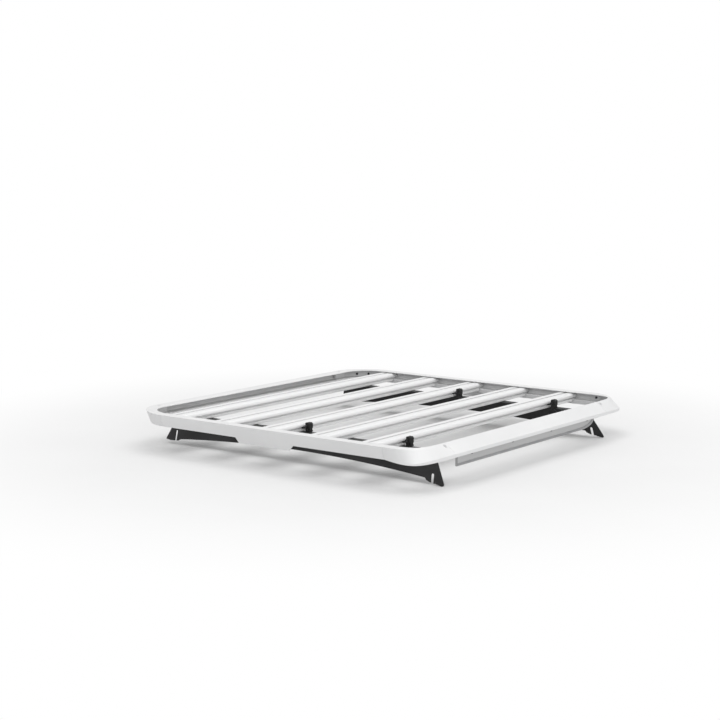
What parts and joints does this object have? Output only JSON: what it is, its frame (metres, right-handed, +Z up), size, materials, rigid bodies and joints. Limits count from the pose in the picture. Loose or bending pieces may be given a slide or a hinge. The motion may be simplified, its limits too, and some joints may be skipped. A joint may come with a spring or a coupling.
{
  "type": "roof cargo platform",
  "caption": "Low roof cargo platform: aluminium frame with rounded corners, slotted cross slats, arched black foot rails, slat clamps and a front wind deflector.",
  "frame": {"origin": "middle of the underside of the bounding box, level with the tips of the front feet", "axes": "+Z up, -Y towards the front of the vehicle where the sloping nose and the deflector are, +X towards the vehicle's left side"},
  "size_m": [1.29, 1.227, 0.1305],
  "materials": {
    "frame_rails": "satin silver powder coat on extruded aluminium, fine even texture",
    "slat_aluminium": "satin anodised extrusion with faint lines along its length",
    "cast_corners": "satin silver powder coat over cast aluminium",
    "deflector_sheet": "satin grey coat on folded aluminium sheet",
    "black_steel": "fine-textured black powder coat on folded steel plate",
    "edging_rubber": "matt grey rubber edging",
    "corner_screws": "zinc-plated steel",
    "black_fasteners": "black zinc-plated steel"
  },
  "bodies": {
    "root": {"clamp_left_3": "black_steel", "clamp_left_5": "black_steel", "clamp_pinch_bolt_left_3": "black_fasteners", "clamp_pinch_bolt_left_5": "black_fasteners", "clamp_pinch_bolt_right_3": "black_fasteners", "clamp_pinch_bolt_right_5": "black_fasteners", "clamp_right_3": "black_steel", "clamp_right_5": "black_steel", "clamp_screw_left_3": "black_fasteners", "clamp_screw_left_5": "black_fasteners", "clamp_screw_right_3": "black_fasteners", "clamp_screw_right_5": "black_fasteners", "deflector_edging": "edging_rubber", "deflector_screw_1": "black_fasteners", "deflector_screw_2": "black_fasteners", "deflector_screw_3": "black_fasteners", "deflector_screw_4": "black_fasteners", "foot_rail_left": "black_steel", "foot_rail_right": "black_steel", "front_corner_left": "cast_corners", "front_corner_right": "cast_corners", "front_corner_screw_left": "corner_screws", "front_corner_screw_right": "corner_screws", "front_joiner_left": "cast_corners", "front_joiner_right": "cast_corners", "front_rail": "frame_rails", "rear_corner_left": "cast_corners", "rear_corner_right": "cast_corners", "rear_corner_screw_left": "corner_screws", "rear_corner_screw_right": "corner_screws", "rear_joiner_left": "cast_corners", "rear_joiner_right": "cast_corners", "rear_rail": "frame_rails", "side_front_joiner_left": "cast_corners", "side_front_joiner_right": "cast_corners", "side_rail_left": "frame_rails", "side_rail_right": "frame_rails", "side_rear_joiner_left": "cast_corners", "side_rear_joiner_right": "cast_corners", "slat_1": "slat_aluminium", "slat_2": "slat_aluminium", "slat_3": "slat_aluminium", "slat_4": "slat_aluminium", "slat_5": "slat_aluminium", "slat_bolt_left_1": "black_fasteners", "slat_bolt_left_2": "black_fasteners", "slat_bolt_left_3": "black_fasteners", "slat_bolt_left_4": "black_fasteners", "slat_bolt_left_5": "black_fasteners", "slat_bolt_right_1": "black_fasteners", "slat_bolt_right_2": "black_fasteners", "slat_bolt_right_3": "black_fasteners", "slat_bolt_right_4": "black_fasteners", "slat_bolt_right_5": "black_fasteners", "wind_deflector": "deflector_sheet"}
  },
  "joints": []
}
